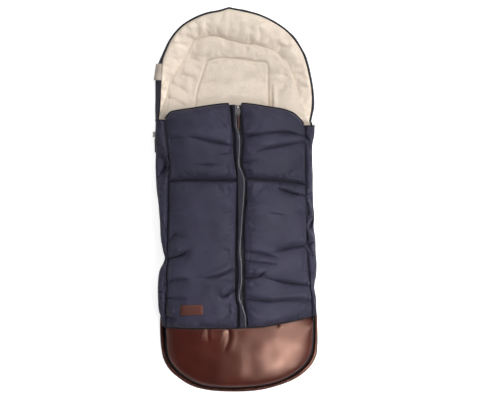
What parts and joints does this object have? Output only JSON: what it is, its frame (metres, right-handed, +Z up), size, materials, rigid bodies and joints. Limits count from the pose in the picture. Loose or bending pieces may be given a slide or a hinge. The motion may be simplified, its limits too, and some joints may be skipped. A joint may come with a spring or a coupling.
{
  "type": "stroller footmuff",
  "caption": "Padded footmuff with rounded hood, two folding front panels closed by a zip, a moulded leather toe box and slots for a harness.",
  "frame": {"origin": "middle of the floor under the footmuff, which lies on its back", "axes": "+Y towards the head end, +Z up out of the front cover, +X to the right seen from above with the head end up"},
  "size_m": [0.4189, 1.0003, 0.1125],
  "materials": {
    "navy_fabric": "matte",
    "cream_lining": "matte",
    "brown_leather": "satin",
    "patch_leather": "matte",
    "woven_tab": "matte",
    "dark_binding": "matte",
    "zip_tape": "matte",
    "zip_teeth": "satin",
    "light_piping": "satin",
    "antislip_rubber": "matte",
    "zip_metal": "satin"
  },
  "bodies": {
    "back": {"back_shell": "navy_fabric", "back_lining": "cream_lining", "antislip_panel": "antislip_rubber", "foot_sole": "brown_leather", "foot_rim": "brown_leather", "side_zip_lower": "zip_tape", "side_zip_box": "zip_metal", "collar_binding_left": "dark_binding", "collar_binding_right": "dark_binding", "slot_welt_shoulder_left": "dark_binding", "slot_welt_shoulder_right": "dark_binding", "slot_welt_waist_left": "dark_binding", "slot_welt_waist_right": "dark_binding", "slot_welt_crotch": "dark_binding"},
    "hood": {"hood_shell": "navy_fabric", "hood_lining": "cream_lining", "hood_border": "cream_lining", "hood_binding": "dark_binding", "woven_tab": "woven_tab"},
    "cover": {"gusset_left": "navy_fabric", "gusset_right": "navy_fabric", "toe_box": "brown_leather", "toe_seam_piping": "brown_leather", "side_zip_upper": "zip_tape", "zip_bottom_stop": "zip_metal"},
    "flap_left": {"panel_left_upper": "navy_fabric", "panel_left_lower": "navy_fabric", "flap_lining_left": "cream_lining", "zip_tape_left": "zip_tape", "zip_chain_left": "zip_teeth", "top_stop_left": "zip_metal", "placket": "navy_fabric", "placket_piping": "light_piping", "leather_patch": "patch_leather"},
    "flap_right": {"panel_right_upper": "navy_fabric", "panel_right_lower": "navy_fabric", "flap_lining_right": "cream_lining", "zip_tape_right": "zip_tape", "zip_chain_right": "zip_teeth", "top_stop_right": "zip_metal"},
    "centre_slider": {"centre_slider": "zip_metal"},
    "centre_puller": {"centre_puller": "zip_metal", "centre_puller_strap": "brown_leather"},
    "side_slider": {"side_slider": "zip_metal"},
    "side_puller": {"side_puller": "zip_metal", "side_puller_strap": "brown_leather"}
  },
  "joints": [
    {"name": "hood_fold", "type": "hinge", "parent": "back", "child": "hood", "pos_m": [0, 0.256, 0.03], "axis": [1, 0, 0], "range_deg": [0, 75]},
    {"name": "cover_lift", "type": "slide", "parent": "back", "child": "cover", "axis": [0, 0, 1], "range_m": [0, 0.25]},
    {"name": "flap_left_fold", "type": "hinge", "parent": "cover", "child": "flap_left", "pos_m": [-0.177, 0, 0.076], "axis": [0, -1, 0], "range_deg": [0, 145]},
    {"name": "flap_right_fold", "type": "hinge", "parent": "cover", "child": "flap_right", "pos_m": [0.177, 0, 0.076], "axis": [0, 1, 0], "range_deg": [0, 145]},
    {"name": "centre_zip_slide", "type": "slide", "parent": "cover", "child": "centre_slider", "axis": [0, -1, 0], "range_m": [0, 0.505]},
    {"name": "centre_puller_tip", "type": "hinge", "parent": "centre_slider", "child": "centre_puller", "pos_m": [0.0085, 0.2282, 0.0931], "axis": [-1, 0, 0], "range_deg": [0, 170]},
    {"name": "side_zip_slide", "type": "slide", "parent": "back", "child": "side_slider", "axis": [0, -1, 0], "range_m": [0, 0.43]},
    {"name": "side_puller_swing", "type": "hinge", "parent": "side_slider", "child": "side_puller", "pos_m": [-0.2093, 0.174, 0.01255], "axis": [0, 0, -1], "range_deg": [0, 170]}
  ]
}
